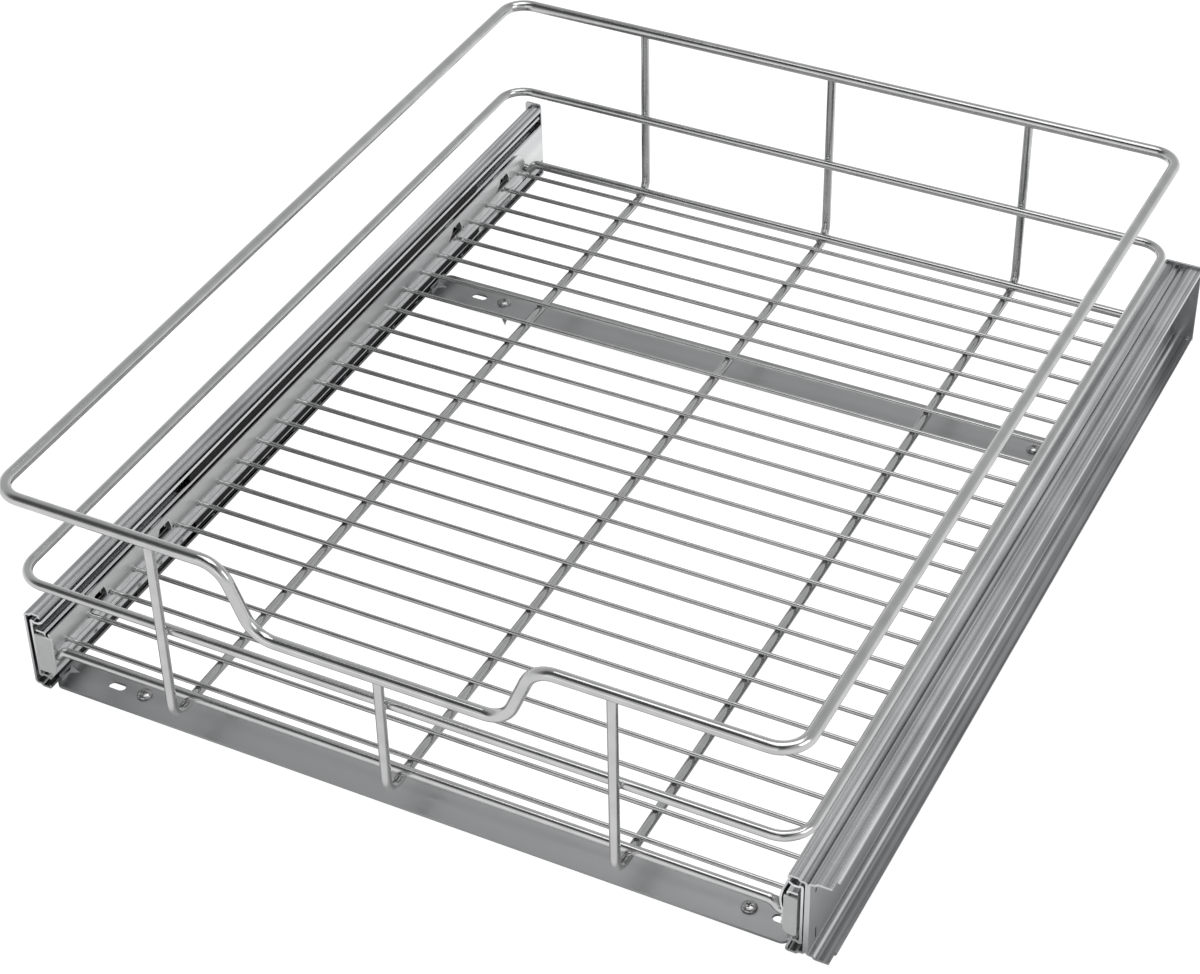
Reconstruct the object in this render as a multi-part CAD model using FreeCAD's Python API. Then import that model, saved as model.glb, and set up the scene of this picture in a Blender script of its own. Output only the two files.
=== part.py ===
import FreeCAD, Part
import math
import os

# Pull-out wire basket on a pair of telescopic slides, for the floor of a cabinet.
# X runs across the cabinet, Y towards its back and Z up. The origin lies on the cabinet's floor,
# midway between the slides, on the centre line of the front crossbar.
# Inside this file Y is counted from the front ends of the outer rails, and save() moves each
# sub-part to the origin. A depth in a slide is counted from the outer face of its outer rail.

V = FreeCAD.Vector

# Driving dimensions
RAIL_LENGTH = 500.0
RAIL_HEIGHT = 46.0
SLIDES_WIDTH = 394.0
SHEET = 1.2
TRAVEL = 480.0

# Section of the outer rails and of the channel beside the right one
WEB_FLANGE_DROP = 1.2
STEP_START = 3.2
STEP_END = 4.3
OUTER_RAIL_DEPTH = 9.2
SIDE_CHANNEL_DEPTH = 12.0
OUTER_LIP = 2.4
OUTER_WEB_BEND = 1.2
SHEET_BEND = 0.8
RIDGE_PITCH = 0.9
RIDGE_WIDTH = 0.36
RIDGE_DEPTH = 0.16
RIDGE_COUNT = 4
CHANNEL_LIP_SETBACK = 6.0
RELIEF_SIZE = 1.7
RELIEF_DEPTHS = (1.5, 6.6)
CHANNEL_RELIEF_DEPTHS = (1.5, 9.3)
CHANNEL_SLOTS = ((6.5, 37.0), (8.0, 8.0), (494.0, 8.0))
CHANNEL_SLOT_WIDTH = 1.2
CHANNEL_SLOT_HEIGHT = 6.0

# Balls and their cages
OUTER_BALL = 4.76
INNER_BALL = 3.5
BALL_PLAY = 0.1
OUTER_BALL_DEPTH = 5.7
INNER_BALL_DEPTH = 6.3
BALLS_PER_ROW = 11
BALL_PITCH = 26.0
CAGE_WEB = 0.35
CAGE_FLANGE = 0.5
CAGE_LENGTH = 295.0
CAGE_MARGIN = 5.0
CAGE_HOLE_PLAY = 0.1
CAGE_GAP = 0.15
OUTER_CAGE_EDGE = 8.7
INNER_CAGE_EDGE = 9.2
CAGE_LIP = 0.45
CAGE_LIP_DROP = 1.6
CAGE_LIP_RISE = 2.3
CAGE_RIB_COUNT = 4
CAGE_RIB_PITCH = 0.95
CAGE_RIB_WIDTH = 0.45
CAGE_RIB_DEPTH = 0.25

# Middle rails
MIDDLE_START = 1.0
MIDDLE_END = 497.0
MIDDLE_WEB_DEPTH = 2.75
MIDDLE_APEX_RISE = 1.8
MIDDLE_RACE_START = 4.3
MIDDLE_RACE_END = 6.9
MIDDLE_LIP_DEPTH = 8.9
MIDDLE_LIP_RISE = 1.3
MIDDLE_APEX_BEND = 0.65

# Inner rails, which carry the basket
INNER_START = 1.2
INNER_END = 498.5
INNER_WEB_DEPTH = 9.4
INNER_FLANGE_END = 4.6
WINDOW_POSITIONS = (31.0, 86.0, 380.0, 436.0)
WINDOW_OUTLINE = ((0.5, 24.0), (5.5, 31.0), (13.0, 31.0), (13.0, 25.8), (17.5, 25.8), (17.5, 24.0))

# Side strips, which join the basket's wires to the inner rails
STRIP_SHEET = 1.0
STRIP_END = 471.0
STRIP_SECTION = (
    (10.44, 13.0, 0.0),
    (11.9, 14.6, 0.7),
    (10.55, 16.3, 0.7),
    (11.9, 18.1, 0.7),
    (10.5, 20.4, 0.7),
    (13.2, 27.0, 16.0),
    (11.7, 34.2, 0.0),
)
STRIP_END_HEIGHT = 22.5
STRIP_END_RADIUS = 13.0
HOOK_PLACE = 13.0
HOOK_OUTLINE = ((10.6, 25.8), (14.0, 25.8), (14.0, 28.4), (13.0, 31.0), (10.6, 31.0))

# End blocks, end plates and bumpers
BLOCK_THICKNESS = 1.2
BLOCK_BOTTOM = 10.3
BLOCK_TOP = 32.3
LEFT_BLOCK_DEPTHS = (3.7, 13.6)
RIGHT_BLOCK_DEPTHS = (4.5, 10.8)
BLOCK_CORNER = 3.0
PLUG_LENGTH = 12.0
PLUG_TOP = 31.5
PLUG_OUTER_DEPTH = 4.8
PLUG_INNER_DEPTH = 8.6
PLATE_THICKNESS = 1.2
PLATE_TOP = 47.4
PLATE_OVERHANG = 1.6
PLATE_CORNER = 1.5
BUMPER_THICKNESS = 2.6
BUMPER_BOTTOM = 9.0
BUMPER_TOP = 37.0
BUMPER_OUTER_DEPTH = 1.2
BUMPER_INNER_DEPTH = 4.2

# Crossbars and floor screws
BAR_THICKNESS = 1.5
BAR_WIDTH = 23.8
FRONT_BAR = 14.2
BAR_SPACING = 356.0
BAR_CORNER = 4.0
BAR_TAB_HEIGHT = 4.0
GUSSET_LENGTH = 6.0
GUSSET_WIDTH = 6.0
GUSSET_HEIGHT = 3.2
HOLES_CENTRE = 10.0
SCREW_SPACING = 310.0
SCREW_HOLE = 4.8
SLOT_SPACING = 341.0
SLOT_LENGTH = 9.0
SLOT_WIDTH = 4.6
SCREW_LENGTH = 15.0
SCREW_SHANK = 4.0
SCREW_NECK = 3.2
SCREW_NECK_END = -0.5
SCREW_POINT = 5.5
SCREW_HEAD = 7.4
SCREW_HEAD_HEIGHT = 2.2
SCREW_HEAD_RIM = 0.7
RECESS_LENGTH = 3.6
RECESS_WIDTH = 0.9
RECESS_DEPTH = 1.3

# Basket
RIM_WIRE = 6.0
FRAME_WIRE = 4.8
FLOOR_WIRE = 2.4
WELD_SINK = 0.1
TOP_RIM_HEIGHT = 122.4
TOP_RIM_HALF_WIDTH = 194.0
TOP_RIM_FRONT = -7.7
TOP_RIM_BACK = 482.7
TOP_RIM_CORNER = 13.0
SCOOP_HEIGHT = 87.5
SCOOP_BOTTOM_HALF = 61.5
SCOOP_TOP_HALF = 76.0
SCOOP_BEND = 15.0
MIDDLE_RIM_HEIGHT = 69.2
MIDDLE_RIM_HALF_WIDTH = 194.7
MIDDLE_RIM_CORNER = 14.0
SUPPORT_SPACING = 112.0
SUPPORT_FRONT = -7.8
SUPPORT_BACK = 483.0
SUPPORT_FLOOR = 18.8
SUPPORT_BEND = 9.0
CROSS_WIRE_FRONT = 4.0
CROSS_WIRE_BACK = 474.9
CROSS_WIRE_DROP = 4.0
CROSS_WIRE_DROP_START = 179.5
CROSS_WIRE_DROP_END = 183.0
CROSS_WIRE_BEND = 3.6
FLOOR_WIRE_COUNT = 25
FLOOR_WIRE_FIRST = 13.3
FLOOR_WIRE_LAST = 464.0

# Worked-out sizes
HALF_WIDTH = SLIDES_WIDTH / 2
MID_HEIGHT = RAIL_HEIGHT / 2
OUTER_BALL_HEIGHT = RAIL_HEIGHT - SHEET - BALL_PLAY - OUTER_BALL / 2
MIDDLE_RACE = OUTER_BALL_HEIGHT - OUTER_BALL / 2 - BALL_PLAY - SHEET / 2
INNER_BALL_HEIGHT = MIDDLE_RACE - SHEET / 2 - BALL_PLAY - INNER_BALL / 2
INNER_RACE = INNER_BALL_HEIGHT - INNER_BALL / 2 - BALL_PLAY - SHEET / 2
CAGE_START = TRAVEL / 4 + CAGE_MARGIN
LEFT = -1
RIGHT = 1
SIDES = ((LEFT, "left"), (RIGHT, "right"))


def across(side, depth):
    """X of a point at a depth in a slide, counted inwards from the outer rail's outer face."""
    return side * (HALF_WIDTH - depth)


def box_between(low, high):
    """Box with edges along the axes between two opposite corners, given in any order."""
    corner = V(min(low.x, high.x), min(low.y, high.y), min(low.z, high.z))
    size = V(abs(high.x - low.x), abs(high.y - low.y), abs(high.z - low.z))
    return Part.makeBox(size.x, size.y, size.z, corner)


def path_runs(points, bends, closed=False):
    """Straight and curved runs of a polyline whose inner corners are rounded.

    A straight run is (start, end) and a curved one (start, middle, end, centre).
    """
    count = len(points)
    corners = range(count) if closed else range(1, count - 1)
    arcs = {}
    for index in corners:
        corner = points[index]
        back = (points[index - 1] - corner).normalize()
        ahead = (points[(index + 1) % count] - corner).normalize()
        half_angle = back.getAngle(ahead) / 2
        reach = bends[index] / math.tan(half_angle)
        inwards = (back + ahead).normalize()
        centre = corner + inwards * (bends[index] / math.sin(half_angle))
        middle = centre - inwards * bends[index]
        arcs[index] = (corner + back * reach, middle, corner + ahead * reach, centre)
    runs = []
    for index in range(count if closed else count - 1):
        following = (index + 1) % count
        start = arcs[index][2] if index in arcs else points[index]
        end = arcs[following][0] if following in arcs else points[following]
        runs.append((start, end))
        if following in arcs:
            runs.append(arcs[following])
    return runs


def sheet_section(points, bends, thickness):
    """Face of a bent sheet, whose middle line is a rounded polyline in an XZ plane."""
    up = V(0, 1, 0)
    borders = {1: [], -1: []}
    for run in path_runs(points, bends):
        for sign, border in borders.items():
            offset = sign * thickness / 2
            if len(run) == 2:
                normal = up.cross(run[1] - run[0]).normalize()
                border.append([run[0] + normal * offset, run[1] + normal * offset])
            else:
                start, middle, end, centre = run
                turn = up.dot((middle - start).cross(end - middle))
                outwards = offset if turn > 0 else -offset
                radius = (start - centre).Length
                scale = (radius + outwards) / radius
                border.append([centre + (point - centre) * scale for point in (start, middle, end)])
    edges = []
    for border in borders.values():
        for run in border:
            if len(run) == 2:
                edges.append(Part.LineSegment(*run).toShape())
            else:
                edges.append(Part.Arc(*run).toShape())
    for place, end in ((0, 0), (-1, -1)):
        edges.append(Part.LineSegment(borders[1][place][end], borders[-1][place][end]).toShape())
    return Part.Face(Part.Wire(Part.__sortEdges__(edges)))


def both_halves(upper):
    """Section line from its lower end to its upper end, from the upper half given web first."""
    lower = [(depth, RAIL_HEIGHT - height, bend) for depth, height, bend in reversed(upper)]
    return lower + list(upper)


def rolled(side, line, start, end, thickness=SHEET):
    """Rolled strip along Y from its section line of (depth, height, bend) corners."""
    points = [V(across(side, depth), start, height) for depth, height, _ in line]
    section = sheet_section(points, [bend for _, _, bend in line], thickness)
    return section.extrude(V(0, end - start, 0))


def bent_rod(points, bends, diameter, closed=False):
    """Round wire along straight runs joined by bends."""
    pieces = []
    for run in path_runs(points, bends, closed):
        start = run[0]
        if len(run) == 2:
            direction = (run[1] - start).normalize()
        else:
            axis = (start - run[3]).cross(run[2] - run[3]).normalize()
            direction = axis.cross(start - run[3]).normalize()
        disc = Part.Face(Part.Wire(Part.makeCircle(diameter / 2, start, direction)))
        if len(run) == 2:
            pieces.append(disc.extrude(run[1] - start))
        else:
            angle = (start - run[3]).getAngle(run[2] - run[3])
            pieces.append(disc.revolve(run[3], axis, math.degrees(angle)))
    return pieces[0].multiFuse(pieces[1:]).removeSplitter().Solids[0]


def largest_solid(shape):
    """The solid with the most volume in a shape."""
    return max(shape.Solids, key=lambda solid: solid.Volume)


def outer_section(depth):
    """Upper half of the section line of an outer rail or of the side channel."""
    low = RAIL_HEIGHT - WEB_FLANGE_DROP - SHEET / 2
    high = RAIL_HEIGHT - SHEET / 2
    lip = depth - SHEET / 2
    return [
        (SHEET / 2, low, OUTER_WEB_BEND),
        (STEP_START, low, SHEET_BEND),
        (STEP_END, high, SHEET_BEND),
        (lip, high, SHEET_BEND),
        (lip, RAIL_HEIGHT - OUTER_LIP, 0),
    ]


def ridge_grooves(side, first_depth):
    """Fine rolled grooves along the tops and undersides of the flanges, to be cut away."""
    grooves = []
    for index in range(RIDGE_COUNT):
        depth = first_depth + index * RIDGE_PITCH
        for surface, inwards in ((RAIL_HEIGHT, -1), (0.0, 1)):
            outline = [
                V(across(side, depth - RIDGE_WIDTH / 2), -1, surface - inwards * RIDGE_DEPTH / 8),
                V(across(side, depth), -1, surface + inwards * RIDGE_DEPTH),
                V(across(side, depth + RIDGE_WIDTH / 2), -1, surface - inwards * RIDGE_DEPTH / 8),
            ]
            face = Part.Face(Part.makePolygon(outline + outline[:1]))
            grooves.append(face.extrude(V(0, RAIL_LENGTH + 2, 0)))
    return grooves


def reliefs(side, depths):
    """Small bend reliefs in the flanges at the rear end, to be cut away."""
    cutters = []
    for depth in depths:
        for low, high in ((-1.0, MID_HEIGHT / 4), (RAIL_HEIGHT - MID_HEIGHT / 4, RAIL_HEIGHT + 1)):
            near = V(across(side, depth - RELIEF_SIZE / 2), RAIL_LENGTH - RELIEF_SIZE, low)
            far = V(across(side, depth + RELIEF_SIZE / 2), RAIL_LENGTH + 1, high)
            cutters.append(box_between(near, far))
    return cutters


def outer_rail(side):
    """Cabinet member of a slide: a rolled channel that opens towards the basket."""
    body = rolled(side, both_halves(outer_section(OUTER_RAIL_DEPTH)), 0, RAIL_LENGTH)
    cutters = ridge_grooves(side, STEP_END + RIDGE_PITCH) + reliefs(side, RELIEF_DEPTHS)
    return largest_solid(body.cut(cutters))


def side_channel():
    """Spacer channel, back to back with the right outer rail and open to the other side."""
    section = [(-depth, height, bend) for depth, height, bend in outer_section(SIDE_CHANNEL_DEPTH)]
    body = rolled(RIGHT, both_halves(section), 0, RAIL_LENGTH)
    first_ridge = -SIDE_CHANNEL_DEPTH + RIDGE_PITCH
    cutters = ridge_grooves(RIGHT, first_ridge)
    cutters += reliefs(RIGHT, [-depth for depth in CHANNEL_RELIEF_DEPTHS])
    lip = V(HALF_WIDTH + SIDE_CHANNEL_DEPTH - SHEET, -1, -1)
    cutters.append(box_between(lip, V(lip.x + 2 * SHEET, CHANNEL_LIP_SETBACK, RAIL_HEIGHT + 1)))
    for place, height in CHANNEL_SLOTS:
        low = V(HALF_WIDTH - 1, place - CHANNEL_SLOT_WIDTH / 2, height - CHANNEL_SLOT_HEIGHT / 2)
        high = V(HALF_WIDTH + 2 * SHEET, low.y + CHANNEL_SLOT_WIDTH, low.z + CHANNEL_SLOT_HEIGHT)
        cutters.append(box_between(low, high))
    return largest_solid(body.cut(cutters))


def middle_rail(side):
    """Intermediate member of a slide, with a ball race in each face of its flanges."""
    half = [
        (MIDDLE_WEB_DEPTH, MIDDLE_RACE + MIDDLE_APEX_RISE, MIDDLE_APEX_BEND),
        (MIDDLE_RACE_START, MIDDLE_RACE, SHEET_BEND),
        (MIDDLE_RACE_END, MIDDLE_RACE, SHEET_BEND),
        (MIDDLE_LIP_DEPTH, MIDDLE_RACE + MIDDLE_LIP_RISE, 0),
    ]
    return rolled(side, both_halves(half), MIDDLE_START, MIDDLE_END)


def windows(side):
    """Cutters for the four windows through a side strip and the inner rail behind it."""
    cutters = []
    for front in WINDOW_POSITIONS:
        outline = [V(across(side, INNER_WEB_DEPTH - SHEET), front + place, height)
                   for place, height in WINDOW_OUTLINE]
        face = Part.Face(Part.makePolygon(outline + outline[:1]))
        cutters.append(face.extrude(V(-side * 5 * SHEET, 0, 0)))
    return cutters


def inner_rail(side):
    """Drawer member of a slide: a channel whose web faces the basket."""
    half = [(INNER_WEB_DEPTH, INNER_RACE, SHEET_BEND), (INNER_FLANGE_END, INNER_RACE, 0)]
    body = rolled(side, both_halves(half), INNER_START, INNER_END)
    return largest_solid(body.cut(windows(side)))


def hooks(side):
    """Tongues at the rear edges of the windows, bent out of the strip towards the basket."""
    tongues = []
    for front in WINDOW_POSITIONS:
        fold = front + HOOK_PLACE
        outline = [V(across(side, depth), fold, height) for depth, height in HOOK_OUTLINE]
        face = Part.Face(Part.makePolygon(outline + outline[:1]))
        tongues.append(face.extrude(V(0, STRIP_SHEET, 0)))
    return tongues


def side_strip(side):
    """Formed strip along an inner rail's web, with two beads, hooks and a rounded rear end."""
    body = rolled(side, STRIP_SECTION, INNER_START, STRIP_END, STRIP_SHEET)
    base = V(across(side, 2 * INNER_WEB_DEPTH), STRIP_END - STRIP_END_RADIUS, STRIP_END_HEIGHT)
    round_end = Part.makeCylinder(STRIP_END_RADIUS, HALF_WIDTH, base, V(side, 0, 0))
    straight = box_between(V(base.x, 0, 0), V(base.x + side * HALF_WIDTH, base.y, RAIL_HEIGHT))
    body = body.common(straight.fuse(round_end))
    body = largest_solid(body.cut(windows(side)))
    return largest_solid(body.multiFuse(hooks(side)))


def cage(side, gap_from, edge, centres, diameter):
    """Thin channel with a row of holes in each flange, which keeps the balls apart."""
    ball_height = max(centre.z for centre in centres)
    start = V(across(side, gap_from), CAGE_START, RAIL_HEIGHT - ball_height)
    web_end = V(across(side, gap_from + CAGE_WEB), CAGE_START + CAGE_LENGTH, ball_height)
    body = box_between(start, web_end)
    for row in (RAIL_HEIGHT - ball_height, ball_height):
        low = V(across(side, gap_from), CAGE_START, row - CAGE_FLANGE / 2)
        high = V(across(side, edge), CAGE_START + CAGE_LENGTH, row + CAGE_FLANGE / 2)
        body = body.fuse(box_between(low, high))
    holes = []
    for centre in centres:
        base = centre - V(0, 0, CAGE_FLANGE)
        holes.append(Part.makeCylinder(diameter / 2 + CAGE_HOLE_PLAY, 2 * CAGE_FLANGE, base))
    return largest_solid(body.cut(holes).removeSplitter())


def ribbed_lips(side):
    """Upright lips with fine ribs, along the edges of an inner cage's flanges."""
    bottom = INNER_BALL_HEIGHT - CAGE_LIP_DROP
    bands = [(INNER_CAGE_EDGE, bottom, INNER_BALL_HEIGHT + CAGE_LIP_RISE)]
    for index in range(CAGE_RIB_COUNT):
        low = bottom + CAGE_RIB_WIDTH / 2 + index * CAGE_RIB_PITCH
        bands.append((INNER_CAGE_EDGE + CAGE_RIB_DEPTH, low, low + CAGE_RIB_WIDTH))
    lips = []
    for edge, low, high in bands:
        for floor, ceiling in ((low, high), (RAIL_HEIGHT - high, RAIL_HEIGHT - low)):
            near = V(across(side, INNER_CAGE_EDGE - CAGE_LIP), CAGE_START, floor)
            lips.append(box_between(near, V(across(side, edge), CAGE_START + CAGE_LENGTH, ceiling)))
    return lips


def ball_centres(side, depth, ball_height):
    """Centres of the balls of one cage, in a row above and a row below."""
    first = CAGE_START + (CAGE_LENGTH - (BALLS_PER_ROW - 1) * BALL_PITCH) / 2
    centres = []
    for row in (RAIL_HEIGHT - ball_height, ball_height):
        for index in range(BALLS_PER_ROW):
            centres.append(V(across(side, depth), first + index * BALL_PITCH, row))
    return centres


def balls(centres, diameter):
    """Steel balls of one cage."""
    return Part.makeCompound([Part.makeSphere(diameter / 2, centre) for centre in centres])


def end_block(side):
    """Moulded cap that closes the front end of an inner rail, with a plug inside it."""
    outer_depth, inner_depth = LEFT_BLOCK_DEPTHS if side == LEFT else RIGHT_BLOCK_DEPTHS
    inner_x = across(side, inner_depth)
    face = box_between(V(across(side, outer_depth), 0, BLOCK_BOTTOM), V(inner_x, BLOCK_THICKNESS, BLOCK_TOP))
    low_edges = [edge for edge in face.Edges
                 if abs(edge.CenterOfMass.x - inner_x) < SHEET / 2
                 and abs(edge.CenterOfMass.z - BLOCK_BOTTOM) < SHEET / 2]
    face = face.makeFillet(BLOCK_CORNER, low_edges)
    floor = RAIL_HEIGHT - INNER_RACE + SHEET / 2
    plug = box_between(V(across(side, PLUG_OUTER_DEPTH), 0, floor),
                       V(across(side, PLUG_INNER_DEPTH), PLUG_LENGTH, PLUG_TOP))
    return face.fuse(plug).removeSplitter().Solids[0]


def end_plate(side, outer_reach):
    """Plate welded across the rear end of a slide's fixed rails."""
    outer = across(side, -outer_reach)
    inner = across(side, OUTER_RAIL_DEPTH - PLATE_CORNER / 2)
    plate = box_between(V(outer, RAIL_LENGTH, 0), V(inner, RAIL_LENGTH + PLATE_THICKNESS, PLATE_TOP))
    upright = [edge for edge in plate.Edges
               if abs(edge.Vertexes[0].Y - edge.Vertexes[-1].Y) > PLATE_THICKNESS / 2
               and edge.CenterOfMass.z > MID_HEIGHT]
    return plate.makeFillet(PLATE_CORNER, upright)


def rear_bumper(side):
    """Rubber pad inside an outer rail, on its end plate, that the middle rail meets when shut."""
    return box_between(V(across(side, BUMPER_OUTER_DEPTH), RAIL_LENGTH - BUMPER_THICKNESS, BUMPER_BOTTOM),
                       V(across(side, BUMPER_INNER_DEPTH), RAIL_LENGTH, BUMPER_TOP))


def crossbar(centre):
    """Steel strip between the outer rails, with folded ends, gussets, screw holes and slots."""
    reach = across(RIGHT, OUTER_RAIL_DEPTH)
    low = V(-reach, centre - BAR_WIDTH / 2, 0)
    bar = box_between(low, V(reach, low.y + BAR_WIDTH, BAR_THICKNESS))
    corners = [edge for edge in bar.Edges
               if abs(edge.Vertexes[0].Z - edge.Vertexes[-1].Z) > BAR_THICKNESS / 2]
    bar = bar.makeFillet(BAR_CORNER, corners)
    tab_half = BAR_WIDTH / 2 - BAR_CORNER
    additions = []
    for side in (LEFT, RIGHT):
        near = V(side * reach, centre - tab_half, 0)
        far = V(side * (reach - BAR_THICKNESS), centre + tab_half, BAR_TAB_HEIGHT)
        additions.append(box_between(near, far))
        root = side * (reach - BAR_THICKNESS)
        outline = [
            V(root, centre - GUSSET_WIDTH / 2, BAR_THICKNESS / 2),
            V(root, centre + GUSSET_WIDTH / 2, BAR_THICKNESS / 2),
            V(root - side * GUSSET_LENGTH, centre, BAR_THICKNESS / 2),
        ]
        crest = V(root, centre, BAR_THICKNESS / 2 + GUSSET_HEIGHT)
        additions.append(pyramid(outline, crest))
    bar = bar.multiFuse(additions)
    cutters = []
    for sign in (LEFT, RIGHT):
        hole = V(HOLES_CENTRE + sign * SCREW_SPACING / 2, centre, -1)
        cutters.append(Part.makeCylinder(SCREW_HOLE / 2, BAR_THICKNESS + 2, hole))
        cutters.append(slot(V(HOLES_CENTRE + sign * SLOT_SPACING / 2, centre, -1)))
    return largest_solid(bar.cut(cutters).removeSplitter())


def pyramid(outline, crest):
    """Solid with a three-cornered base and a crest point."""
    faces = [Part.Face(Part.makePolygon(outline + outline[:1]))]
    for index in range(len(outline)):
        corner, following = outline[index], outline[(index + 1) % len(outline)]
        faces.append(Part.Face(Part.makePolygon([corner, following, crest, corner])))
    solid = Part.Solid(Part.Shell(faces))
    if solid.Volume < 0:
        solid.reverse()
    return solid


def slot(centre):
    """Cutter for a slotted hole that runs along X."""
    half = (SLOT_LENGTH - SLOT_WIDTH) / 2
    height = BAR_THICKNESS + 2
    radius = SLOT_WIDTH / 2
    middle = box_between(centre - V(half, radius, 0), centre + V(half, radius, height))
    ends = [Part.makeCylinder(radius, height, centre + V(sign * half, 0, 0)) for sign in (-1, 1)]
    return middle.multiFuse(ends)


def floor_screw(place):
    """Pan-head wood screw with a cross recess, seated on a crossbar."""
    seat = place.z
    shank_end = seat - SCREW_LENGTH + SCREW_POINT
    half = SCREW_SHANK / 2
    neck = SCREW_NECK / 2
    head = SCREW_HEAD / 2
    crown = seat + SCREW_HEAD_HEIGHT
    rim = seat + SCREW_HEAD_RIM
    shoulder = V(head * 0.72, 0, seat + SCREW_HEAD_HEIGHT * 0.84)
    edges = [
        Part.LineSegment(V(0, 0, seat - SCREW_LENGTH), V(half, 0, shank_end)).toShape(),
        Part.LineSegment(V(half, 0, shank_end), V(half, 0, SCREW_NECK_END)).toShape(),
        Part.LineSegment(V(half, 0, SCREW_NECK_END), V(neck, 0, SCREW_NECK_END)).toShape(),
        Part.LineSegment(V(neck, 0, SCREW_NECK_END), V(neck, 0, seat)).toShape(),
        Part.LineSegment(V(neck, 0, seat), V(head, 0, seat)).toShape(),
        Part.LineSegment(V(head, 0, seat), V(head, 0, rim)).toShape(),
        Part.Arc(V(head, 0, rim), shoulder, V(0, 0, crown)).toShape(),
        Part.LineSegment(V(0, 0, crown), V(0, 0, seat - SCREW_LENGTH)).toShape(),
    ]
    profile = Part.Face(Part.Wire(edges))
    screw = profile.revolve(V(0, 0, 0), V(0, 0, 1), 360)
    screw = Part.Solid(screw.Shells[0]) if not screw.Solids else screw.Solids[0]
    recesses = []
    for size in ((RECESS_LENGTH, RECESS_WIDTH), (RECESS_WIDTH, RECESS_LENGTH)):
        low = V(-size[0] / 2, -size[1] / 2, crown - RECESS_DEPTH)
        recesses.append(box_between(low, V(size[0] / 2, size[1] / 2, crown + 1)))
    screw = largest_solid(screw.cut(recesses))
    screw.translate(V(place.x, place.y, 0))
    return screw


def floor_screws():
    """The four screws that hold the crossbars to the cabinet's floor."""
    places = [V(HOLES_CENTRE + sign * SCREW_SPACING / 2, centre, BAR_THICKNESS)
              for centre in (FRONT_BAR, FRONT_BAR + BAR_SPACING) for sign in (LEFT, RIGHT)]
    return Part.makeCompound([floor_screw(place) for place in places])


def top_rim():
    """Closed top wire of the basket, with a dip in the middle of its front run."""
    edge, front, back = TOP_RIM_HALF_WIDTH, TOP_RIM_FRONT, TOP_RIM_BACK
    points = [
        V(-edge, back, TOP_RIM_HEIGHT),
        V(-edge, front, TOP_RIM_HEIGHT),
        V(-SCOOP_TOP_HALF, front, TOP_RIM_HEIGHT),
        V(-SCOOP_BOTTOM_HALF, front, SCOOP_HEIGHT),
        V(SCOOP_BOTTOM_HALF, front, SCOOP_HEIGHT),
        V(SCOOP_TOP_HALF, front, TOP_RIM_HEIGHT),
        V(edge, front, TOP_RIM_HEIGHT),
        V(edge, back, TOP_RIM_HEIGHT),
    ]
    bends = [TOP_RIM_CORNER] * 2 + [SCOOP_BEND] * 4 + [TOP_RIM_CORNER] * 2
    return bent_rod(points, bends, RIM_WIRE, closed=True)


def middle_rim():
    """Closed wire round the basket at half its height, welded inside the uprights."""
    edge = MIDDLE_RIM_HALF_WIDTH
    front = SUPPORT_FRONT + FRAME_WIRE - WELD_SINK
    back = SUPPORT_BACK - FRAME_WIRE + WELD_SINK
    points = [V(-edge, back, MIDDLE_RIM_HEIGHT), V(-edge, front, MIDDLE_RIM_HEIGHT),
              V(edge, front, MIDDLE_RIM_HEIGHT), V(edge, back, MIDDLE_RIM_HEIGHT)]
    return bent_rod(points, [MIDDLE_RIM_CORNER] * 4, FRAME_WIRE, closed=True)


def support_wire(x, front_height, rim):
    """U-shaped wire that runs under the floor and up to the top rim at both ends."""
    points = [
        V(x, SUPPORT_FRONT, front_height),
        V(x, SUPPORT_FRONT, SUPPORT_FLOOR),
        V(x, SUPPORT_BACK, SUPPORT_FLOOR),
        V(x, SUPPORT_BACK, TOP_RIM_HEIGHT),
    ]
    wire = bent_rod(points, [0, SUPPORT_BEND, SUPPORT_BEND, 0], FRAME_WIRE)
    return largest_solid(wire.cut(rim))


def cross_wire(y, wire_ends):
    """Thick wire across the floor, on the support wires, with ends cranked down to the rails."""
    height = SUPPORT_FLOOR + FRAME_WIRE - WELD_SINK
    low = height - CROSS_WIRE_DROP
    reach = across(RIGHT, INNER_WEB_DEPTH + SHEET / 4)
    points = [V(-reach, y, low), V(-CROSS_WIRE_DROP_END, y, low), V(-CROSS_WIRE_DROP_START, y, height),
              V(CROSS_WIRE_DROP_START, y, height), V(CROSS_WIRE_DROP_END, y, low), V(reach, y, low)]
    wire = bent_rod(points, [0] + [CROSS_WIRE_BEND] * 4 + [0], FRAME_WIRE)
    return largest_solid(wire.cut(wire_ends))


def floor_wires(wire_ends):
    """Thin wires of the basket's floor, welded between the side strips."""
    height = SUPPORT_FLOOR + (FRAME_WIRE + FLOOR_WIRE) / 2 - WELD_SINK
    pitch = (FLOOR_WIRE_LAST - FLOOR_WIRE_FIRST) / (FLOOR_WIRE_COUNT - 1)
    reach = across(RIGHT, INNER_WEB_DEPTH)
    wires = []
    for index in range(FLOOR_WIRE_COUNT):
        start = V(-reach, FLOOR_WIRE_FIRST + index * pitch, height)
        rod = Part.makeCylinder(FLOOR_WIRE / 2, 2 * reach, start, V(1, 0, 0))
        wires.append(largest_solid(rod.cut(wire_ends)))
    return Part.makeCompound(wires)


def save(node, shape):
    """Moves a sub-part to the origin on the front crossbar and writes its STEP file."""
    moved = shape.copy()
    moved.translate(V(0, -FRONT_BAR, 0))
    moved.exportStep("parts/" + node + ".step")
    print(node, "solids", len(moved.Solids), "valid", moved.isValid(), "volume", round(moved.Volume))


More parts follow.
